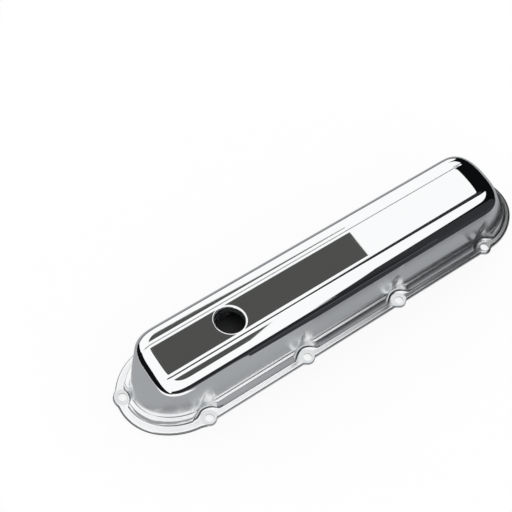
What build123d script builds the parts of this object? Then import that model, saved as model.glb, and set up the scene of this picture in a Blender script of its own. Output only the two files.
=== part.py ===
from build123d import *
import math
import os

# Engine valve cover: one deep pressing of sheet steel with a flange turned down at
# its rim, and a small bent baffle welded inside it below the breather hole.
# Millimetres. X runs along the cover, Z up. The origin is the centre of the flange,
# on the plane that the turned-down rim stands on.

# Sheet and heights
SHEET = 1.2               # thickness of the pressed sheet
LIP_DEPTH = 3.5           # from the top of the flange down to the edge of its rim
LEDGE_HEIGHT = 9.3        # ledge above the flange
SHOULDER_HEIGHT = 60.0    # top of the shoulders above the flange
PANEL_RISE = 1.5          # centre panel above the shoulders

# Flange and its bolts
FLANGE_HALF_WIDTH = 49.6
FLANGE_END_X = 181.9      # where the straight sides of the flange end
FLANGE_END_REACH = 58.0   # how far its round ends go past that
FLANGE_SIDE_EASE = 6.0    # the arcs next to the straight sides are wider than that
LIP_BEND = 2.0            # outer radius of the turned-down rim
BOLT_PITCH = 117.5
BOLT_ROW_SHIFT = -1.1     # middle of the bolt rows from the middle of the flange
BOLT_ROW_Y = 46.0
END_BOLT_X = 230.0
END_BOLT_Y = 16.3
BOLT_HOLE_RADIUS = 4.2
EAR_RADIUS = 7.0
END_EAR_RADIUS = 9.0
EAR_BLEND = 6.0

# Foot, ledge and bolt pockets
FOOT_INSET = 8.2          # foot wall from the rim of the flange
FOOT_BLEND = 2.4          # fillet from flange to foot
LEDGE_ROUND = 1.6         # outer edge of the ledge
LEDGE_COVE = 1.5          # fillet from ledge to wall
POCKET_RADIUS = 16.0      # of the clearance pocket at each side bolt
END_POCKET_RADIUS = 12.4
POCKET_OUTSET = 5.0       # pocket axis outboard of its bolt
POCKET_BLEND = 4.0        # fillet round the seat of the bolt
POCKET_TAPER = 4.8        # degrees, above the ledge

# Body walls: the foot of the wall is round-ended, its top is nearly square-ended
WALL_INSET = 12.2         # foot of the wall from the rim of the flange
WALL_TOP_HALF_WIDTH = 37.2
LEFT_TOP_X = 182.5
LEFT_TOP_REACH = 35.3
LEFT_TOP_POWER = 4.0
RIGHT_TOP_X = 168.0
RIGHT_TOP_REACH = 27.5
RIGHT_TOP_POWER = 2.8
TOP_SKEW = 0.10           # the ends of the crown are cut a little askew
CROWN_ROLL = 10.0         # from the walls into the crown
END_ROLL = 24.0           # reach of the longer roll at the right end

# Centre panel and breather hole
PANEL_HALF_WIDTH = 18.8
PANEL_STEP = 1.5          # width of the sloped step
BREATHER_X = -126.4
BREATHER_RADIUS = 14.0
BREATHER_ROLL = 2.2       # outer radius of its turned-in lip
BREATHER_DEPTH = 7.0

# Baffle
BAFFLE_SHEET = 0.9
BAFFLE_WIDTH = 30.0
BAFFLE_WEB = 96.0         # length of the low part
BAFFLE_DROP = 20.0        # web below the underside of the panel
BAFFLE_FOOT = 14.0
BAFFLE_BEND = 2.0         # inner radius of its bends

# Levels worked out from the sizes above
FLANGE_TOP = LIP_DEPTH
GASKET_Z = FLANGE_TOP - SHEET
LEDGE_Z = FLANGE_TOP + LEDGE_HEIGHT
SHOULDER_Z = FLANGE_TOP + SHOULDER_HEIGHT
PANEL_Z = SHOULDER_Z + PANEL_RISE
CLEAR = 1.0               # overshoot of cutting tools

# Arcs of the flange's round ends, from their reach and their side radius
SIDE_RADIUS = FLANGE_END_REACH + FLANGE_SIDE_EASE
SIDE_RISE = SIDE_RADIUS - FLANGE_HALF_WIDTH
END_SPREAD = SIDE_RADIUS**2 - FLANGE_END_REACH**2 - SIDE_RISE**2
TIP_RADIUS = END_SPREAD / (2 * FLANGE_SIDE_EASE)
TIP_X = FLANGE_END_REACH - TIP_RADIUS
JOINT_ANGLE = math.atan2(SIDE_RISE, TIP_X)

bolt_row_x = [BOLT_ROW_SHIFT + (i - 1.5) * BOLT_PITCH for i in range(4)]
side_bolts = [(x, side * BOLT_ROW_Y) for side in (-1, 1) for x in bolt_row_x]
end_bolts = [(side * END_BOLT_X, END_BOLT_Y) for side in (-1, 1)]


def rim_point(angle, inset):
    """Point of a round end whose normal is at the given angle, drawn in by inset.

    The end is a tip arc between two wider side arcs, all tangent, and starts at x = 0.
    """
    if abs(angle) <= JOINT_ANGLE:
        radius = TIP_RADIUS - inset
        return (TIP_X + radius * math.cos(angle), radius * math.sin(angle))
    radius = SIDE_RADIUS - inset
    y = radius * math.sin(abs(angle)) - SIDE_RISE
    return (radius * math.cos(angle), math.copysign(y, angle))


def rim_outline(inset):
    """Face inside the rim of the flange, drawn in by inset: straight sides, round ends."""
    between = (JOINT_ANGLE + math.pi / 2) / 2
    angles = (-math.pi / 2, -between, -JOINT_ANGLE, 0, JOINT_ANGLE, between, math.pi / 2)
    edges = []
    for s in (-1, 1):
        ring = [rim_point(angle, inset) for angle in angles]
        ring = [(s * (FLANGE_END_X + x), s * y) for x, y in ring]
        edges += [ThreePointArc(*ring[i : i + 3]) for i in (0, 2, 4)]
        edges.append(Line((-ring[0][0], ring[0][1]), ring[0]))
    return make_face(edges)


def flange_outline(inset):
    """The rim outline with an ear at every bolt, blended into the rim."""
    face = Sketch() + rim_outline(0)
    face += [Pos(x, y) * Circle(EAR_RADIUS) for x, y in side_bolts]
    face += [Pos(x, y) * Circle(END_EAR_RADIUS) for x, y in end_bolts]
    face = offset(offset(face, EAR_BLEND), -EAR_BLEND - inset)
    return face


def crown_point(angle, half_width, reach, power):
    """Point of a superellipse round one end of the crown, which starts at x = 0."""
    y = math.copysign(half_width * abs(math.sin(angle)) ** (2 / power), angle)
    return (reach * max(math.cos(angle), 0) ** (2 / power), y)


def body_face(z, inset, end_inset):
    """Slice of the body at height z, between its round foot and its squarer crown.

    The slice is drawn in by inset at the sides and the left, by end_inset at the right.
    """
    share = (z - LEDGE_Z) / (PANEL_Z - LEDGE_Z)
    half = WALL_TOP_HALF_WIDTH - inset
    left = (-1, LEFT_TOP_X, LEFT_TOP_REACH - inset, LEFT_TOP_POWER, 0)
    pull = end_inset - inset
    right = (1, RIGHT_TOP_X - pull, RIGHT_TOP_REACH - inset, RIGHT_TOP_POWER, pull)
    ends = []
    for s, top_x, reach, power, pull in (left, right):
        points = []
        for step in range(13):
            angle = math.pi * (step / 12 - 0.5)
            foot_x, foot_y = rim_point(angle, WALL_INSET + inset)
            crown_x, crown_y = crown_point(angle, half, reach, power)
            foot = Vector(s * (FLANGE_END_X - pull + foot_x), s * foot_y)
            crown = Vector(s * (top_x + crown_x + TOP_SKEW * crown_y), s * crown_y)
            points.append(foot + (crown - foot) * share)
        ends.append(Spline(points, tangents=[(s, 0), (-s, 0)]))
    near = Line(ends[0] @ 1, ends[1] @ 0)
    far = Line(ends[1] @ 1, ends[0] @ 0)
    return Pos(0, 0, z) * make_face([near, ends[1], far, ends[0]])


def wall_block(skin, top_z):
    """Body above the ledge: a cove up from the ledge, the walls, and a roll into the top."""
    cove = LEDGE_COVE + skin
    roll = CROWN_ROLL - skin
    end_roll = END_ROLL - skin
    floor = LEDGE_Z - skin
    coves = []
    rolls = []
    for step in range(5):
        turn = math.pi / 2 * step / 4
        flare = skin - cove * (1 - math.sin(turn))
        coves.append(body_face(floor + cove * (1 - math.cos(turn)), flare, flare))
    for step in range(7):
        turn = math.pi / 2 * step / 6
        level = top_z - roll + roll * math.sin(turn)
        drawn = 1 - math.cos(turn)
        rolls.append(body_face(level, skin + roll * drawn, skin + end_roll * drawn))
    return loft(coves) + loft([coves[-1], rolls[0]], ruled=True) + loft(rolls)


def crown_panel(skin):
    """The raised centre panel: a taller body kept only between its two straight steps."""
    top_z = PANEL_Z - skin
    half = PANEL_HALF_WIDTH - skin * math.tan(math.pi / 8)
    low = SHOULDER_Z - skin - PANEL_STEP * 6
    spread = half + (top_z - low) * PANEL_STEP / PANEL_RISE
    section = Polyline((-spread, low), (spread, low), (half, top_z), (-half, top_z), close=True)
    prism = extrude(Plane.YZ * make_face(section), 300, both=True)
    return wall_block(skin, top_z) & prism


def pocket_tool(x, y, radius, skin):
    """Cutter that clears a bolt: rounded at the flange, upright to the ledge, then tapered."""
    size = radius + skin
    blend = POCKET_BLEND + skin
    floor = FLANGE_TOP - skin
    rise = PANEL_Z - LEDGE_Z
    top_size = size - rise * math.tan(math.radians(POCKET_TAPER))
    outline = [
        Line((0, floor), (size - blend, floor)),
        CenterArc((size - blend, floor + blend), blend, -90, 90),
        Line((size, floor + blend), (size, LEDGE_Z)),
        Line((size, LEDGE_Z), (top_size, PANEL_Z)),
        Line((top_size, PANEL_Z), (0, PANEL_Z)),
        Line((0, PANEL_Z), (0, floor)),
    ]
    return Pos(x, y) * revolve(Plane.XZ * make_face(outline), Axis.Z)


def pockets(skin):
    """Cutters for every bolt, each set outboard of it along the normal of the rim."""
    tools = []
    for x, y in side_bolts:
        tools.append(pocket_tool(x, y + math.copysign(POCKET_OUTSET, y), POCKET_RADIUS, skin))
    for x, y in end_bolts:
        tools.append(pocket_tool(x + math.copysign(POCKET_OUTSET, x), y, END_POCKET_RADIUS, skin))
    return tools


def level_edges(solid, z, reach):
    """Edges lying at height z within reach of the long centre plane."""
    edges = solid.edges().filter_by_position(Axis.Z, z - 0.01, z + 0.01)
    return edges.filter_by(lambda edge: edge.bounding_box().max.Y < reach and edge.bounding_box().min.Y > -reach)


def form(skin, bottom_z):
    """The solid enclosed by the pressing's surface, taken skin below its outer face."""
    plate_top = FLANGE_TOP - skin
    plate = Pos(0, 0, bottom_z) * extrude(flange_outline(skin), plate_top - bottom_z)
    plate = fillet(plate.faces().sort_by(Axis.Z)[-1].edges(), LIP_BEND - skin)
    ledge_top = LEDGE_Z - skin
    foot_face = Pos(0, 0, plate_top - CLEAR / 2) * rim_outline(FOOT_INSET + skin)
    foot = extrude(foot_face, ledge_top - plate_top + CLEAR / 2)
    foot = fillet(foot.faces().sort_by(Axis.Z)[-1].edges(), LEDGE_ROUND - skin)
    body = plate + foot
    body = fillet(level_edges(body, plate_top, FLANGE_HALF_WIDTH - FOOT_INSET + 0.5), FOOT_BLEND + skin)
    body += wall_block(skin, SHOULDER_Z - skin)
    body += crown_panel(skin)
    return body - pockets(skin)


def breather_lip():
    """Ring that fills the rolled-in edge of the breather hole, bent down into a collar."""
    collar = BREATHER_RADIUS + SHEET
    rim = BREATHER_RADIUS + BREATHER_ROLL
    bend = BREATHER_ROLL - SHEET
    profile = make_face([
        Line((rim, 0), (rim, -SHEET)),
        CenterArc((rim, -BREATHER_ROLL), bend, 90, 90),
        Line((collar, -BREATHER_ROLL), (collar, -BREATHER_DEPTH)),
        Line((collar, -BREATHER_DEPTH), (BREATHER_RADIUS, -BREATHER_DEPTH)),
        Line((BREATHER_RADIUS, -BREATHER_DEPTH), (BREATHER_RADIUS, -BREATHER_ROLL)),
        CenterArc((rim, -BREATHER_ROLL), BREATHER_ROLL, 180, -90),
    ])
    return Pos(BREATHER_X, 0, PANEL_Z) * revolve(Plane.XZ * profile, Axis.Z)


def cover_shell():
    """The pressing: its outer form less its inner form, pierced for bolts and breather."""
    shell = form(0, 0) - form(SHEET, -CLEAR)
    drill = Cylinder(BOLT_HOLE_RADIUS, SHEET + 2 * CLEAR)
    shell -= [Pos(x, y, FLANGE_TOP - SHEET / 2) * drill for x, y in side_bolts + end_bolts]
    shell -= Pos(BREATHER_X, 0, PANEL_Z) * Cylinder(BREATHER_RADIUS + BREATHER_ROLL, 4 * SHEET)
    return shell + breather_lip()


def oil_baffle():
    """Bent strip under the breather: two feet on the crown's underside and a low web."""
    seat = PANEL_Z - SHEET
    mid = BAFFLE_SHEET / 2
    half_web = BAFFLE_WEB / 2
    path = FilletPolyline(
        (-half_web - BAFFLE_FOOT, seat - mid),
        (-half_web, seat - mid),
        (-half_web, seat - BAFFLE_DROP),
        (half_web, seat - BAFFLE_DROP),
        (half_web, seat - mid),
        (half_web + BAFFLE_FOOT, seat - mid),
        radius=BAFFLE_BEND + mid,
    )
    section = Plane.XZ * trace(path, BAFFLE_SHEET)
    return Pos(BREATHER_X, 0, 0) * extrude(section, BAFFLE_WIDTH / 2, both=True)


os.makedirs("parts", exist_ok=True)
for name, piece in (("cover_shell", cover_shell()), ("oil_baffle", oil_baffle())):
    piece.label = name
    export_step(piece, f"parts/{name}.step")
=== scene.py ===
import bmesh
import bpy
import math
import numpy as np
from mathutils import Matrix, Vector


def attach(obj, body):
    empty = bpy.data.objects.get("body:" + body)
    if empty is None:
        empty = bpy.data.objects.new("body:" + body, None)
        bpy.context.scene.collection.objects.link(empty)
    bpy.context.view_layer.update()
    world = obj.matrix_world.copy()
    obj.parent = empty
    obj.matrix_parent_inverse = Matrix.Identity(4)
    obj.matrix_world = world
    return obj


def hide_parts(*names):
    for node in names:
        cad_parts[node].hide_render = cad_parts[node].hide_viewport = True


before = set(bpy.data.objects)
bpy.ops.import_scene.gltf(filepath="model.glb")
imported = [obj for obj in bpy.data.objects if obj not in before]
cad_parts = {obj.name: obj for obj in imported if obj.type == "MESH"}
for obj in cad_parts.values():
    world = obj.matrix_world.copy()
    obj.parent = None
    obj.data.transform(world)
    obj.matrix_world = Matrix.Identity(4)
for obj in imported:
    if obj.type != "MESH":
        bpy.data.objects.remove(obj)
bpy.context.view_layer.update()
scene = bpy.context.scene

# Cover shell: one deep pressing of sheet steel, chrome plated, polished outside and dull
# inside. Ten bolts hold its flange, which has a turned-down rim and an ear at each bolt. A
# low foot, steep walls with a pocket at each bolt and a rolled crown stand on the flange.
MM = 0.001
SHEET = 1.2
RIM_HALF, RIM_END_X, RIM_REACH, RIM_SIDE_RADIUS = 49.6, 181.9, 58.0, 64.0
FLANGE_Z, LEDGE_Z, SHOULDER_Z, PANEL_Z = 3.5, 11.6, 63.5, 65.0
LIP_BEND, FOOT_INSET, FOOT_BLEND = 2.0, 7.8, 1.4
WALL_INSET, LEDGE_ROUND, LEDGE_COVE, FOOT_LEAN = 12.2, 1.0, 0.9, math.radians(68)
UPRIGHT_FROM_X, UPRIGHT_OVER = -150, 50
CROWN_HALF, CROWN_SKEW, ROLL = 37.2, 0.10, 10.0
LEFT_X, LEFT_REACH, LEFT_POWER = 182.5, 35.3, 4.0
RIGHT_X, RIGHT_REACH, RIGHT_POWER = 168.0, 27.5, 2.8
SKEW_FROM_X, CORNER_Y = 100, 22.6
flat_half = CROWN_HALF - ROLL

# The ten bolts, each with the axis of its pocket and the radii of its ear and its pocket
HOLE_RADIUS = 4.2
BOLT_SHIFT, BOLT_PITCH, BOLT_Y = -1.1, 117.5, 46.0
END_BOLT_X, END_BOLT_Y = 230.0, 16.3
EAR_RADIUS, END_EAR_RADIUS, EAR_BLEND = 7.0, 9.0, 3.0
POCKET_RADIUS, END_POCKET_RADIUS, POCKET_EDGE = 16.0, 12.0, 1.6
POCKET_OUTSET, POCKET_TAPER = 5.0, math.tan(math.radians(4.8))
POCKET_BLEND, POCKET_BLEND_DEPTH = 4.0, 3
side_bolts = [(BOLT_SHIFT + (i - 1.5) * BOLT_PITCH, side * BOLT_Y) for side in (-1, 1) for i in range(4)]
end_bolts = [(side * END_BOLT_X, END_BOLT_Y) for side in (-1, 1)]
bolts = []
for x, y in side_bolts:
    axis = (x, y + math.copysign(POCKET_OUTSET, y))
    bolts.append(((x, y), axis, EAR_RADIUS, POCKET_RADIUS))
for x, y in end_bolts:
    axis = (x + math.copysign(POCKET_OUTSET, x), y)
    bolts.append(((x, y), axis, END_EAR_RADIUS, END_POCKET_RADIUS))

# Rows of the mesh: two that keep the flange flat next to its bends, those of each bend, and
# those up the wall, as shares of its height, closer together where the pockets are
AFTER_LIP, BEFORE_TOE = 0.4, 0.3
BEND_ROWS, ROLL_ROWS = 7, 13
CLOSE_CLIMB, LAST_CLIMB = np.linspace(0, 0.72, 13)[1:], [0.86, 0.97]

# Each round end of the rim is a tip arc between two side arcs that it meets smoothly
side_rise = RIM_SIDE_RADIUS - RIM_HALF
tip_radius = (RIM_SIDE_RADIUS**2 - RIM_REACH**2 - side_rise**2) / (2 * (RIM_SIDE_RADIUS - RIM_REACH))
tip_x = RIM_REACH - tip_radius
joint_angle = math.atan2(side_rise, tip_x)

# Stations round the shell, close together at the bolts, the panel's steps and the corners
BOLT_ZONE, ZONE_GAP = 18, 0.5
bolt_x = np.array([x for x, _ in side_bolts[:4]])
close_x = (bolt_x[:, None] + np.linspace(-BOLT_ZONE, BOLT_ZONE, 31)).ravel()
open_x = np.linspace(-RIM_END_X, RIM_END_X, 53)
open_x = open_x[np.min(np.abs(open_x[:, None] - bolt_x), axis=1) > BOLT_ZONE + ZONE_GAP]
side_x = np.concatenate([
    close_x[np.abs(close_x) < RIM_END_X - ZONE_GAP],
    open_x,
    np.linspace(150, RIM_END_X, 14),
    [-RIM_END_X],
])
side_x = np.unique(np.round(side_x, 6))
half_y = np.concatenate([
    np.linspace(1, 15, 15),
    np.linspace(15.4, 17.8, 7),
    np.linspace(18, 19.6, 9),
    np.linspace(20, CORNER_Y, 7),
    CORNER_Y + (flat_half - CORNER_Y) * np.sin(np.linspace(0, math.pi / 2, 15)[1:]),
])
end_y = np.concatenate([-half_y[::-1], [0.0], half_y])
to_right = np.clip((side_x[:, None] - SKEW_FROM_X) / (RIM_END_X - SKEW_FROM_X), 0, 1)
to_left = np.clip((-side_x[:, None] - SKEW_FROM_X) / (RIM_END_X - SKEW_FROM_X), 0, 1)

# The shell is four blocks of stations: both long sides and both ends
blocks = [(kind, side) for kind in ("side", "end") for side in (-1, 1)]


def smooth(t):
    """Blend from 0 to 1 that starts and ends level: three squares of t less two cubes."""
    t = np.clip(t, 0, 1)
    return t * t * (3 - 2 * t)


def soft_max(a, b, width):
    """Larger of two values, plus a square of their closeness that rounds the corner."""
    gap = np.clip(width - np.abs(a - b), 0, None)
    return np.maximum(a, b) + gap * gap / (4 * width)


def way_out(x, y, nx, ny, centre, radius):
    """Distance from (x, y) along (nx, ny) out of a circle: half its chord less the way gone.

    It is -99 where the line misses the circle or the centre still lies ahead.
    """
    along = (x - centre[0]) * nx + (y - centre[1]) * ny
    rest = along**2 + radius**2 - (x - centre[0])**2 - (y - centre[1])**2
    return np.where((rest > 0) & (along > 0), np.sqrt(np.clip(rest, 0, None)) - along, -99.0)


def crown_slice(block, inset):
    """Outline of the crown, drawn in by inset.

    The sides are straight and skew towards the ends. Each end is a squared circle: its
    reach is the root of one less a power of the share of the half width.
    """
    kind, side = block
    half = CROWN_HALF - inset
    if kind == "side":
        y = side * half + 0 * side_x[:, None]
        x = side_x[:, None] + to_right * (RIGHT_X - RIM_END_X + CROWN_SKEW * y)
        return x + to_left * (RIM_END_X - LEFT_X + CROWN_SKEW * y), y
    past = np.clip((np.abs(end_y) - CORNER_Y) / (flat_half - CORNER_Y), 0, 1)[:, None]
    y = end_y[:, None] + np.sign(end_y)[:, None] * (half - flat_half) * past
    start, reach, power = RIGHT_X, RIGHT_REACH, RIGHT_POWER
    if side < 0:
        start, reach, power = LEFT_X, LEFT_REACH, LEFT_POWER
    bulge = (1 - np.clip(np.abs(y) / half, 0, 1) ** power) ** (1 / power)
    return side * (start + (reach - inset) * bulge) + CROWN_SKEW * y, y


def rim_frame(block):
    """Points of the rim and its outward normals at a block's stations.

    At the ends each station's place across the crown is turned into an angle on the arcs
    of the rim, so that the walls' lines run evenly from one outline to the other.
    """
    kind, side = block
    if kind == "side":
        one = np.ones_like(side_x)[:, None]
        return side_x[:, None], side * RIM_HALF * one, 0 * one, side * one
    past = np.clip(np.abs(end_y) - CORNER_Y, 0, None)
    full_y = np.abs(end_y) + past * (CROWN_HALF - flat_half) / (flat_half - CORNER_Y)
    power = LEFT_POWER if side < 0 else RIGHT_POWER
    angle = (np.sign(end_y) * np.arcsin(np.clip(full_y / CROWN_HALF, 0, 1) ** (power / 2)))[:, None]
    tip = np.abs(angle) <= joint_angle
    radius = np.where(tip, tip_radius, RIM_SIDE_RADIUS)
    x = np.where(tip, tip_x, 0.0) + radius * np.cos(angle)
    y = np.sign(angle) * (radius * np.sin(np.abs(angle)) - np.where(tip, 0.0, side_rise))
    return side * (RIM_END_X + x), y, side * np.cos(angle), np.sin(angle)


def pushed_in(x, y, nx, ny, z):
    """How far the pockets push a wall point inwards: out of cones that narrow upwards."""
    narrow = POCKET_TAPER * np.clip(z - LEDGE_Z, 0, None)
    push = np.zeros_like(x + z)
    for _, axis, _, radius in bolts:
        push = soft_max(push, way_out(x, y, -nx, -ny, axis, radius - narrow), POCKET_EDGE)
    return push


# The raised panel between two steps, each mostly crisp within a softer draw of the sheet.
# At the right end the panel slopes down tangent to the roll. At the left end it runs on
# over the roll and fades out by the angle LEFT_FADE, in radians from the top.
PANEL_HALF, PANEL_EASE, PANEL_FALL, BRINK_ROUND = 18.8, 6.6, 10.5, 0.15
FAR_STEP, NEAR_STEP, NEAR_STEP_GROWTH = 2.2, 1.6, 1.2
NEAR_GROWTH_FROM_X, NEAR_GROWTH_OVER = -100, 200
CRISP_SHARE = 0.76
LEFT_FADE = 0.67
fall_angle = math.atan((PANEL_Z - SHOULDER_Z) / PANEL_FALL)
fall_lift = ROLL * (1 / math.cos(fall_angle) - 1) / (PANEL_Z - SHOULDER_Z)


def panel_share(x, y):
    """Share of the panel's rise at a point: 1 on the panel, 0 on the shoulders.

    Across the cover it is a narrow and a wide smooth blend, added. Along the cover it is
    level, then falls in a straight line to the brink of the right end's roll.
    """
    inside = PANEL_HALF - np.abs(y)
    growth = smooth((x - NEAR_GROWTH_FROM_X) / NEAR_GROWTH_OVER)
    step = np.where(y < 0, NEAR_STEP + NEAR_STEP_GROWTH * growth, FAR_STEP)
    crisp, soft = smooth(0.5 + inside / step), smooth(0.5 + inside / PANEL_EASE)
    across = CRISP_SHARE * crisp + (1 - CRISP_SHARE) * soft
    out = np.clip(np.abs(y) / flat_half, 0, 1)
    bulge = (1 - out**RIGHT_POWER) ** (1 / RIGHT_POWER)
    brink = RIGHT_X + CROWN_SKEW * y + (RIGHT_REACH - ROLL) * bulge
    return across * -soft_max((x - brink) / PANEL_FALL - fall_lift, -1.0, BRINK_ROUND)


def skirt(block):
    """Grid of a block from the edge of the rim up to the flat of the crown.

    Each station's profile runs up the lip and over its bend, in along the flange, up
    the foot, over the ledge, up the wall and round the roll, each bend a circular arc.
    The ears move the lip outwards, the pockets move the foot and the wall inwards, and at
    the ends the panel's rise is added over the roll.
    """
    rim_x, rim_y, nx, ny = rim_frame(block)
    level = np.zeros_like(rim_x)
    ear = level
    for bolt, _, radius, _ in bolts:
        ear = soft_max(ear, way_out(rim_x, rim_y, nx, ny, bolt, radius), EAR_BLEND)
    turn = np.linspace(0, math.pi / 2, BEND_ROWS)[None, :]
    foot_x, foot_y = rim_x - FOOT_INSET * nx, rim_y - FOOT_INSET * ny
    foot = FOOT_INSET + pushed_in(foot_x, foot_y, nx, ny, 0.0)
    base_x, base_y = rim_x - WALL_INSET * nx, rim_y - WALL_INSET * ny
    wall = WALL_INSET + pushed_in(base_x, base_y, nx, ny, 0.0)
    wall = np.maximum(wall, foot)
    ledge = np.clip((wall - foot) / (WALL_INSET - FOOT_INSET), 0, 1)
    in_pocket = np.clip((foot - FOOT_INSET) / POCKET_BLEND_DEPTH, 0, 1)
    blend = FOOT_BLEND + (POCKET_BLEND - FOOT_BLEND) * in_pocket
    edge, cove = LEDGE_ROUND * ledge, LEDGE_COVE * ledge
    upright = np.maximum(1 - ledge, smooth((UPRIGHT_FROM_X - rim_x) / UPRIGHT_OVER))
    lean = FOOT_LEAN + (math.pi / 2 - FOOT_LEAN) * upright
    bend = lean * np.linspace(0, 1, BEND_ROWS)[None, :]
    run = (LEDGE_Z - FLANGE_Z - (edge + blend) * (1 - np.cos(lean))) / np.tan(lean)
    toe = foot - run / 2 - blend * np.sin(lean)
    brink = foot + run / 2
    inset = np.concatenate([
        -ear,
        -ear + LIP_BEND * (1 - np.cos(turn)),
        -ear + LIP_BEND + AFTER_LIP,
        (toe - ear + LIP_BEND) / 2,
        toe - BEFORE_TOE,
        toe + blend * np.sin(bend),
        brink + edge * (np.sin(lean) - np.sin(bend[:, ::-1])),
        wall - cove * (1 - np.sin(turn)),
    ], axis=1)
    z = np.concatenate([
        level,
        level + FLANGE_Z - LIP_BEND * (1 - np.sin(turn)),
        level + FLANGE_Z,
        level + FLANGE_Z,
        level + FLANGE_Z,
        FLANGE_Z + blend * (1 - np.cos(bend)),
        LEDGE_Z - edge * (1 - np.cos(bend[:, ::-1])),
        LEDGE_Z + cove * (1 - np.cos(turn)),
    ], axis=1)
    x, y = rim_x - inset * nx, rim_y - inset * ny

    # Walls and roll, between the round foot and the squarer crown
    axis_z = SHOULDER_Z - ROLL
    climb = np.concatenate([CLOSE_CLIMB, LAST_CLIMB])[None, :]
    up_turn = np.linspace(0, math.pi / 2, ROLL_ROWS)[None, :] + level
    drawn = np.concatenate([level * climb, 1 - np.cos(up_turn)], axis=1)
    low = LEDGE_Z + cove
    wall_z = np.concatenate([low + (axis_z - low) * climb, axis_z + ROLL * np.sin(up_turn)], axis=1)
    share = (wall_z - LEDGE_Z) / (PANEL_Z - LEDGE_Z)
    crown_x, crown_y = crown_slice(block, ROLL * drawn)
    foot_in = WALL_INSET + ROLL * drawn
    wall_x = (rim_x - foot_in * nx) * (1 - share) + crown_x * share
    wall_y = (rim_y - foot_in * ny) * (1 - share) + crown_y * share
    below_roll = wall_z < axis_z + 0.1
    push = pushed_in(wall_x, wall_y, nx, ny, wall_z) * below_roll
    wall_x, wall_y = wall_x - push * nx, wall_y - push * ny
    if block[0] == "end":
        from_top = math.pi / 2 - up_turn
        over_roll = (PANEL_Z - SHOULDER_Z) * smooth(1 - from_top / LEFT_FADE)
        tangent = ROLL * (1 - np.cos(from_top - fall_angle)) / math.cos(fall_angle) * (from_top < fall_angle)
        share_top = panel_share(wall_x[:, -1:], end_y[:, None])
        lift = share_top * over_roll if block[1] < 0 else share_top / fall_lift * tangent
        wall_z[:, -up_turn.shape[1]:] += lift
    return (
        np.concatenate([x, wall_x], axis=1),
        np.concatenate([y, wall_y], axis=1),
        np.concatenate([z, wall_z], axis=1),
    )


# Power that sets the rows over the crown's ends closer together at the roll
CLOSER_AT_ROLL = 1.3


def flat(block, edge_x, edge_y):
    """Grid of a block over the flat of the crown: straight lines from the roll inwards.

    The sides run to the centre line, the ends to the lines that the sides leave open.
    """
    if block[0] == "side":
        y = edge_y[:, None] * (half_y[::-1][None, 1:] / flat_half)
        y = np.concatenate([y, 0 * edge_y[:, None]], axis=1)
        skew = CROWN_SKEW * (SHOULDER_Z - LEDGE_Z) / (PANEL_Z - LEDGE_Z)
        return edge_x[:, None] + skew * (y - edge_y[:, None]) * (to_right + to_left), y
    y_in = end_y * (np.abs(edge_y[-1]) / flat_half)
    x_in = edge_x[0] + (edge_x[-1] - edge_x[0]) * (y_in - edge_y[0]) / (edge_y[-1] - edge_y[0])
    v = np.linspace(0, 1, 15)[None, 1:] ** CLOSER_AT_ROLL
    x = edge_x[:, None] + (x_in - edge_x)[:, None] * v
    y = edge_y[:, None] + (y_in - edge_y)[:, None] * v
    return x, y


def surface():
    """Points and quads of the whole outer face: each block's skirt and its flat in one grid.

    The panel's share lifts the flat, and each quad joins four neighbours of the grid.
    """
    points, quads, start = [], [], 0
    for block in blocks:
        x, y, z = skirt(block)
        inner_x, inner_y = flat(block, x[:, -1], y[:, -1])
        inner_z = SHOULDER_Z + (PANEL_Z - SHOULDER_Z) * panel_share(inner_x, inner_y)
        outer, inner = np.stack([x, y, z], axis=-1), np.stack([inner_x, inner_y, inner_z], axis=-1)
        grid = np.concatenate([outer, inner], axis=1)
        rows, columns = grid.shape[:2]
        number = start + np.arange(rows * columns).reshape(rows, columns)
        corners = [number[:-1, :-1], number[1:, :-1], number[1:, 1:], number[:-1, 1:]]
        quad = np.stack(corners, axis=-1).reshape(-1, 4)
        turned = (block[0] == "side") == (block[1] > 0)
        quads.append(quad[:, ::-1] if turned else quad)
        points.append(grid.reshape(-1, 3))
        start += rows * columns
    return np.concatenate(points), np.concatenate(quads)


def linear(hex_colour):
    """Scene-linear RGBA of an sRGB hex colour."""
    part = np.array([int(hex_colour[i:i + 2], 16) / 255 for i in (0, 2, 4)])
    return (*np.where(part <= 0.04045, part / 12.92, ((part + 0.055) / 1.055) ** 2.4), 1.0)


def add_node(tree, kind, inputs=None, **settings):
    """Adds a node and sets its settings and unlinked inputs."""
    node = tree.nodes.new(kind)
    for key, value in settings.items():
        setattr(node, key, value)
    for key, value in (inputs or {}).items():
        node.inputs[key].default_value = value
    return node


def new_material(name):
    """An empty node material with its Principled shader already joined to the output."""
    material = bpy.data.materials.new(name)
    material.use_nodes = True
    tree = material.node_tree
    return material, tree, tree.nodes["Principled BSDF"]


def clouded(tree, shader, noise_scale, detail, first, second):
    """Colours a shader between two hex colours by noise. Gives back the place and the noise."""
    place = add_node(tree, "ShaderNodeTexCoord")
    noise = add_node(tree, "ShaderNodeTexNoise", {"Scale": noise_scale, "Detail": detail})
    tint = add_node(tree, "ShaderNodeMix", data_type="RGBA")
    tint.inputs["A"].default_value = linear(first)
    tint.inputs["B"].default_value = linear(second)
    tree.links.new(place.outputs["Object"], noise.inputs["Vector"])
    tree.links.new(noise.outputs["Fac"], tint.inputs["Factor"])
    tree.links.new(tint.outputs["Result"], shader.inputs["Base Color"])
    return place, noise


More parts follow.
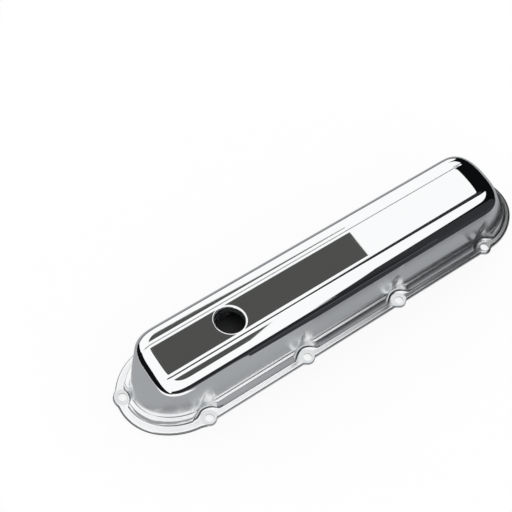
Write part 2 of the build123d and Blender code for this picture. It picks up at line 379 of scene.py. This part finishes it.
# Chrome plate, polished on a wheel: a mirror on the crown and a little duller below, where
# the wheel reaches less. Soft clouds about 55 mm across vary its tint and polish by a trace.
chrome, tree, shader = new_material("polished chrome plate")
place, clouds = clouded(tree, shader, 18.0, 3.0, "F7F8F9", "FCFCFD")
haze = add_node(tree, "ShaderNodeMapRange", {"To Min": 0.008, "To Max": 0.022})
axes = add_node(tree, "ShaderNodeSeparateXYZ")
above_walls = {"From Min": 0.050, "From Max": 0.056, "To Min": 0.20, "To Max": 0.0}
buffed = add_node(tree, "ShaderNodeMapRange", above_walls)
dull = add_node(tree, "ShaderNodeMath", operation="ADD")
tree.links.new(place.outputs["Object"], axes.inputs["Vector"])
tree.links.new(axes.outputs["Z"], buffed.inputs["Value"])
tree.links.new(buffed.outputs["Result"], dull.inputs[0])
tree.links.new(clouds.outputs["Fac"], haze.inputs["Value"])
tree.links.new(haze.outputs["Result"], dull.inputs[1])
tree.links.new(dull.outputs["Value"], shader.inputs["Roughness"])
shader.inputs["Metallic"].default_value = 1.0

# Plating on the inner face, thin and never polished, so dull. Its grey, in blotches about 33 mm
# across, is painted dark as the shade in the hollow, so that the hollow looks dark through the
# breather hole
shaded_inner_plate, tree, shader = new_material("inner plating painted dark as shade")
clouded(tree, shader, 30.0, 4.0, "4E5052", "5E6062")
shader.inputs["Metallic"].default_value = 1.0
shader.inputs["Roughness"].default_value = 0.5

# The blocks are welded where they meet and given the sheet's thickness, inwards
WELD = 0.004
points, quads = surface()
mesh = bpy.data.meshes.new("cover_shell_form")
mesh.from_pydata((points * MM).tolist(), [], quads.tolist())
weld = bmesh.new()
weld.from_mesh(mesh)
bmesh.ops.remove_doubles(weld, verts=weld.verts, dist=WELD * MM)
bmesh.ops.dissolve_degenerate(weld, dist=WELD * MM, edges=weld.edges)
bmesh.ops.recalc_face_normals(weld, faces=weld.faces)
weld.to_mesh(mesh)
weld.free()
form = bpy.data.objects.new("cover_shell_form", mesh)
scene.collection.objects.link(form)
sheet = form.modifiers.new("sheet", "SOLIDIFY")
sheet.thickness = SHEET * MM
sheet.offset = -1.0
sheet.use_even_offset = True
sheet.material_offset = 1
form.data.materials.append(chrome)
form.data.materials.append(shaded_inner_plate)


CORNERS = 64


def drill(x, y, radius, low, high):
    """Cutter for one hole, a prism of 64 sides from low to high, and its cut in the shell."""
    angle = np.linspace(0, 2 * math.pi, CORNERS + 1)[:-1]
    ring = np.stack([x + radius * np.cos(angle), y + radius * np.sin(angle)], axis=-1)
    wall = np.concatenate([np.c_[ring, np.full(CORNERS, z)] for z in (low, high)])
    number = np.arange(CORNERS)
    after = (number + 1) % CORNERS
    faces = np.stack([number, after, after + CORNERS, number + CORNERS], axis=-1).tolist()
    faces += [number[::-1].tolist(), (number + CORNERS).tolist()]
    cutter_mesh = bpy.data.meshes.new("drill")
    cutter_mesh.from_pydata((wall * MM).tolist(), [], faces)
    cutter = bpy.data.objects.new("drill", cutter_mesh)
    scene.collection.objects.link(cutter)
    cut = form.modifiers.new("hole", "BOOLEAN")
    cut.operation = "DIFFERENCE"
    cut.solver = "EXACT"
    cut.object = cutter
    return cutter


# Ten bolt holes through the flange and the breather hole through the crown
BREATHER_X, BREATHER_RADIUS, BREATHER_ROLL, BREATHER_DEPTH = -126.4, 14.0, 2.2, 7.0
FLANGE_CUT, CROWN_CUT = (0.5, 6.0), (55.0, 70.0)
rim_r = BREATHER_RADIUS + BREATHER_ROLL
cutters = [drill(x, y, HOLE_RADIUS, *FLANGE_CUT) for x, y in side_bolts + end_bolts]
cutters.append(drill(BREATHER_X, 0, rim_r, *CROWN_CUT))
bpy.context.view_layer.update()
pressed = bpy.data.meshes.new_from_object(form.evaluated_get(bpy.context.evaluated_depsgraph_get()))
for spent in cutters + [form]:
    bpy.data.objects.remove(spent)


# The lip of the breather hole, rolled inwards and turned down into a short collar
LIP_ROWS, LIP_STEPS = 9, 96


def breather_lip():
    """Points and quads of the lip: a quarter-round roll and a short collar, turned round.

    The outline goes down the outer face of the sheet and back up the inner one.
    """
    angle = np.linspace(0, math.pi / 2, LIP_ROWS)
    bend = BREATHER_ROLL - SHEET
    outer_r = rim_r - BREATHER_ROLL * np.sin(angle)
    outer_z = PANEL_Z - BREATHER_ROLL + BREATHER_ROLL * np.cos(angle)
    inner_r = (rim_r - bend * np.sin(angle))[::-1]
    inner_z = (PANEL_Z - BREATHER_ROLL + bend * np.cos(angle))[::-1]
    low_z = PANEL_Z - BREATHER_DEPTH
    ring_r = np.concatenate([outer_r, [BREATHER_RADIUS, BREATHER_RADIUS + SHEET], inner_r])
    ring_z = np.concatenate([outer_z, [low_z, low_z], inner_z])
    around = np.linspace(0, 2 * math.pi, LIP_STEPS + 1)[:-1]
    lip = np.stack([
        BREATHER_X + ring_r[None, :] * np.cos(around)[:, None],
        ring_r[None, :] * np.sin(around)[:, None],
        ring_z[None, :] + 0 * around[:, None],
    ], axis=-1)
    count, rings = lip.shape[:2]
    number = np.arange(count * rings).reshape(count, rings)
    after = np.roll(number, -1, axis=0)
    corners = [number[:, :-1], number[:, 1:], after[:, 1:], after[:, :-1]]
    return lip.reshape(-1, 3), np.stack(corners, axis=-1).reshape(-1, 4)


CREASE = math.radians(38)
lip_points, lip_quads = breather_lip()
lip_mesh = bpy.data.meshes.new("breather_lip")
lip_mesh.from_pydata((lip_points * MM).tolist(), [], lip_quads.tolist())
whole = bmesh.new()
whole.from_mesh(pressed)
whole.from_mesh(lip_mesh)
whole.to_mesh(pressed)
whole.free()
pressed.shade_smooth()
pressed.set_sharp_from_angle(angle=CREASE)
shell = bpy.data.objects.new("cover_shell_pressing", pressed)
scene.collection.objects.link(shell)
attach(shell, "root")
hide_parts("cover_shell")

# Oil baffle: a strip of plain sheet steel, bent down between two feet that are spot-welded
# to the crown on either side of the breather hole. It is rolled steel without plating and matt. Its
# near-black, in blotches about 17 mm across, is painted shade of the hollow under the cover.
steel, tree, shader = new_material("sheet steel painted dark as shade")
clouded(tree, shader, 60.0, 4.0, "161718", "1E1F20")
shader.inputs["Roughness"].default_value = 0.62
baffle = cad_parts["oil_baffle"]
baffle.data.materials.clear()
baffle.data.materials.append(steel)

# Camera: it looks down on the near side from the breather's end, and is turned a little
# about its own line of sight. SIDE and UP shift it in its own plane, in millimetres.
AZIMUTH, ELEVATION, TWIST = math.radians(-48.1), math.radians(53.2), math.radians(12.0)
FOCAL_PX, PICTURE_PX, SENSOR, DISTANCE = 1539.7, 512, 36.0, 1476.7
TARGET = Vector((-1.10, -0.857, 33.5))
SIDE, UP = -70.5, 21.1
back = Vector((
    math.sin(AZIMUTH) * math.cos(ELEVATION),
    -math.cos(AZIMUTH) * math.cos(ELEVATION),
    math.sin(ELEVATION),
))
right = Vector((0, 0, 1)).cross(back).normalized()
up = back.cross(right)
cam_right = right * math.cos(TWIST) + up * math.sin(TWIST)
cam_up = up * math.cos(TWIST) - right * math.sin(TWIST)
eye = TARGET + back * DISTANCE + cam_right * SIDE + cam_up * UP
camera_data = bpy.data.cameras.new("camera")
camera_data.sensor_width = SENSOR
camera_data.lens = FOCAL_PX * SENSOR / PICTURE_PX
camera_data.clip_end = 20.0
camera = bpy.data.objects.new("camera", camera_data)
scene.collection.objects.link(camera)
turn = Matrix((cam_right, cam_up, back)).transposed()
camera.matrix_world = Matrix.Translation(eye * MM) @ turn.to_4x4()
scene.camera = camera


# Studio cards: dark and grey boards that the chrome mirrors. One hangs overhead for the
# crown, others stand on every side for its rolls and walls, and sheets lie on the floor and
# over the flange.
def card(name, corners, hex_colour, one_sided=False):
    """Flat studio card: it glows evenly, shows in the chrome and is hidden from the camera.

    A one-sided card is clear when seen from its back.
    """
    material, tree, shader = new_material(name)
    tree.nodes.remove(shader)
    glow = add_node(tree, "ShaderNodeEmission", {"Color": linear(hex_colour)})
    face = add_node(tree, "ShaderNodeNewGeometry")
    clear = add_node(tree, "ShaderNodeBsdfTransparent")
    pick = add_node(tree, "ShaderNodeMixShader", {0: 0.0})
    if one_sided:
        tree.links.new(face.outputs["Backfacing"], pick.inputs[0])
    tree.links.new(glow.outputs["Emission"], pick.inputs[1])
    tree.links.new(clear.outputs["BSDF"], pick.inputs[2])
    tree.links.new(pick.outputs["Shader"], tree.nodes["Material Output"].inputs["Surface"])
    mesh = bpy.data.meshes.new(name)
    mesh.from_pydata([Vector(c) * MM for c in corners], [], [tuple(range(len(corners)))])
    mesh.materials.append(material)
    obj = bpy.data.objects.new(name, mesh)
    scene.collection.objects.link(obj)
    obj.visible_camera = False
    obj.visible_diffuse = False
    obj.visible_shadow = False


def wall_card(name, y, outline, hex_colour):
    """Upright card along the cover at y, from its outline in x and z."""
    card(name, [(x, y, z) for x, z in outline], hex_colour)


def end_card(name, x, outline, hex_colour):
    """Upright card past an end of the cover at x, from its outline in y and z."""
    card(name, [(x, y, z) for y, z in outline], hex_colour)


def flat_card(name, z, outline, hex_colour, one_sided=False):
    """Card that lies at height z, from its outline in x and y."""
    card(name, [(x, y, z) for x, y in outline], hex_colour, one_sided)


def mirrored(x, y, height):
    """Where a camera ray that bounces off the crown's shoulders at (x, y) meets a height."""
    ray = Vector((x, y, SHOULDER_Z)) - eye
    grow = (height - SHOULDER_Z) / -ray.z
    return x + ray.x * grow, y + ray.y * grow


OVERHEAD_Z = 900
near_edge = [(-214, -38.0), (-210, -34.0), (-192, -31.6), (-124.5, -27.2), (-93.7, -22.3)]
near_edge += [(-85, -19.0), (28, -19.0)]
far_edge = [(32, 23.2), (-11.4, 23.6), (-83.8, 24.3), (-152, 26.3), (-204.5, 27.0)]
overhead = [mirrored(x, y, OVERHEAD_Z) for x, y in near_edge + far_edge]
flat_card("overhead_card", OVERHEAD_Z, overhead, "4F504E")

# Walls. A card in front of another stands WALL_GAP nearer to the cover.
NEAR_WALL_Y, FAR_WALL_Y, LEFT_WALL_X, RIGHT_WALL_X, WALL_GAP = -900, 900, -1000, 650, 10
FLOOR_CARD_Z, NEAR_FLOOR_Z, LEFT_FLOOR_Z, INSIDE_Z = 0.3, 0.4, 0.5, 0.6
near = [(-1200, 0), (1400, 0), (1400, 1000), (650, 950), (350, 780), (-1200, 700)]
near_low = [(-1200, 0), (1400, 0), (1400, 230), (-1200, 60)]
near_floor = [(1400, -900), (230, -900), (60, -480), (-65, -171), (-95, -98), (-24, -62), (1400, -58)]
near_right = [(1010, 0), (2200, 0), (2200, 1500), (1010, 1500)]
wall_card("near_card", NEAR_WALL_Y, near, "26282A")
wall_card("near_low_card", NEAR_WALL_Y + WALL_GAP, near_low, "4C4D4F")
flat_card("near_floor_card", NEAR_FLOOR_Z, near_floor, "36373A")
wall_card("near_right_card", NEAR_WALL_Y + 2 * WALL_GAP, near_right, "747678")

right_mid = [(-150, 0), (400, 0), (400, 650), (210, 650), (-150, 1070)]
right_far = [(400, 0), (900, 0), (900, 170), (400, 230)]
right_near = [(-900, 0), (-150, 0), (-150, 1070), (-200, 1130), (-900, 1130)]
end_card("right_card", RIGHT_WALL_X, right_mid, "0C0D0E")
end_card("right_far_card", RIGHT_WALL_X, right_far, "6A6C6E")
end_card("right_near_card", RIGHT_WALL_X, right_near, "303234")

left = [(-900, 0), (900, 0), (900, 700), (-900, 60)]
left_floor = [(-1000, -900), (-430, -300), (-430, 900), (-1000, 900)]
far_left = [(-1200, 0), (-470, 0), (-470, 330), (-1000, 700), (-1200, 700)]
far = [(-1200, 0), (1400, 0), (1400, 260), (-1200, 260)]
end_card("left_card", LEFT_WALL_X, left, "101112")
flat_card("left_floor_card", LEFT_FLOOR_Z, left_floor, "18191A")
wall_card("far_left_card", FAR_WALL_Y - WALL_GAP, far_left, "101112")
wall_card("far_card", FAR_WALL_Y, far, "6A6C6E")

grey_floor = [(-400, 880), (-400, 60), (-290, -20), (-235, -95), (-150, -130)]
grey_floor += [(-60, -880), (640, -880), (640, 880)]
inside = [(-200, -36), (200, -36), (200, 36), (-200, 36)]
flat_card("floor_card", FLOOR_CARD_Z, grey_floor, "A2A4A6")
# Painted shade: a dark card under the cover that the inner plating mirrors, so the hollow looks dark
flat_card("shade_under_cover_card", INSIDE_Z, inside, "101112")

# Small cards at the flange, hidden from the camera, that paint shade into what the chrome mirrors:
# a dark line round its left end, a painted contact shadow for the lip; a light disc over each of
# four bolt seats, painted shade for the flange to mirror; and grey strips, painted shade on the
# flange for the foot and the walls to mirror
RIM_CARD_Z, RIM_CARD_INNER, RIM_CARD_OUTER = 0.7, 0.1, 1.7
OVER_FLANGE_Z, SEAT_CARD_RADIUS = 3.9, 8.5
rim_x, rim_y, out_x, out_y = [column[:, 0] for column in rim_frame(("end", -1))]
inner_line = np.stack([rim_x + RIM_CARD_INNER * out_x, rim_y + RIM_CARD_INNER * out_y], axis=-1)
outer_line = np.stack([rim_x + RIM_CARD_OUTER * out_x, rim_y + RIM_CARD_OUTER * out_y], axis=-1)
# Painted contact shadow round the left end of the rim, for the lip to mirror
flat_card("contact_shadow_card", RIM_CARD_Z, np.concatenate([inner_line, outer_line[::-1]]), "101112")
turns = [i * math.pi / 8 for i in range(16)]
# Painted shade: a light grey disc over each of four bolt seats, which the flange mirrors
for x, y in side_bolts[:3] + end_bolts[:1]:
    seat = [(x + SEAT_CARD_RADIUS * math.cos(a), y - SEAT_CARD_RADIUS * math.sin(a)) for a in turns]
    flat_card("seat_shade_card", OVER_FLANGE_Z, seat, "E2E4E5", one_sided=True)
left_rim = [(-240, 0), (-234, -18), (-222, -34), (-205, -45.5), (-182, -49.6)]
left_rim += [(-182, -45.1), (-203, -41.5), (-219, -31), (-230, -16), (-235.5, 0)]
STRIP_INNER_Y, strip_spans = -36, ((-158, -68), (-41, 50), (77, 167))
strips = [
    [(a, -RIM_HALF), (b, -RIM_HALF), (b, STRIP_INNER_Y), (a, STRIP_INNER_Y)] for a, b in strip_spans
]
# Painted shade: grey strips over the flange and round its left end, which the foot and the walls mirror
for strip in strips + [left_rim]:
    flat_card("flange_shade_card", OVER_FLANGE_Z, strip, "9A9C9E", one_sided=True)

# White paper floor: one big matt sheet under the cover, in a white room. Round the cover
# most of its white is a glow for the camera and the chrome, so that the shadow on it stays
# faint. It doesn't glow up to 200 mm either way along the cover, 37 mm near and 46 mm far.
GLOW_SHARE = 0.82
NO_GLOW_PER_METRE, NO_GLOW_SHIFT = (5.0, 24.0, 0.0), (0.0, -0.1, 0.0)
floor_mat, tree, shader = new_material("white paper floor")
place, _ = clouded(tree, shader, 30.0, 2.0, "FCFCFC", "FFFFFF")
shader.inputs["Roughness"].default_value = 0.9
shader.inputs["Specular IOR Level"].default_value = 0.0
seen = add_node(tree, "ShaderNodeLightPath")
paths = add_node(tree, "ShaderNodeMath", operation="MAXIMUM")
paths_too = add_node(tree, "ShaderNodeMath", operation="MAXIMUM")
share = add_node(tree, "ShaderNodeMath", {1: GLOW_SHARE}, operation="MULTIPLY")
no_glow = {1: NO_GLOW_PER_METRE, 2: NO_GLOW_SHIFT}
reach = add_node(tree, "ShaderNodeVectorMath", no_glow, operation="MULTIPLY_ADD")
outward = add_node(tree, "ShaderNodeVectorMath", operation="ABSOLUTE")
sides = add_node(tree, "ShaderNodeSeparateXYZ")
farther = add_node(tree, "ShaderNodeMath", operation="MAXIMUM")
open_floor = add_node(tree, "ShaderNodeMath", {1: 1.0}, operation="GREATER_THAN")
open_share = add_node(tree, "ShaderNodeMath", operation="MULTIPLY")
white = add_node(tree, "ShaderNodeEmission", {"Color": (1, 1, 1, 1), "Strength": 1.0})
blend = add_node(tree, "ShaderNodeMixShader")
tree.links.new(seen.outputs["Is Camera Ray"], paths.inputs[0])
tree.links.new(seen.outputs["Is Glossy Ray"], paths.inputs[1])
tree.links.new(paths.outputs["Value"], paths_too.inputs[0])
tree.links.new(seen.outputs["Is Transmission Ray"], paths_too.inputs[1])
tree.links.new(paths_too.outputs["Value"], share.inputs[0])
tree.links.new(place.outputs["Object"], reach.inputs[0])
tree.links.new(reach.outputs["Vector"], outward.inputs[0])
tree.links.new(outward.outputs["Vector"], sides.inputs["Vector"])
tree.links.new(sides.outputs["X"], farther.inputs[0])
tree.links.new(sides.outputs["Y"], farther.inputs[1])
tree.links.new(farther.outputs["Value"], open_floor.inputs[0])
tree.links.new(open_floor.outputs["Value"], open_share.inputs[0])
tree.links.new(share.outputs["Value"], open_share.inputs[1])
tree.links.new(open_share.outputs["Value"], blend.inputs["Fac"])
tree.links.new(shader.outputs["BSDF"], blend.inputs[1])
tree.links.new(white.outputs["Emission"], blend.inputs[2])
tree.links.new(blend.outputs["Shader"], tree.nodes["Material Output"].inputs["Surface"])
mesh = bpy.data.meshes.new("floor")
mesh.from_pydata([(-4, -4, 0), (4, -4, 0), (4, 4, 0), (-4, 4, 0)], [], [(0, 1, 2, 3)])
mesh.materials.append(floor_mat)
floor = bpy.data.objects.new("floor", mesh)
scene.collection.objects.link(floor)

# The white room
world = bpy.data.worlds.new("studio")
world.use_nodes = True
world.node_tree.nodes["Background"].inputs["Color"].default_value = (1, 1, 1, 1)
world.node_tree.nodes["Background"].inputs["Strength"].default_value = 1.0
scene.world = world
scene.view_settings.view_transform = "Standard"
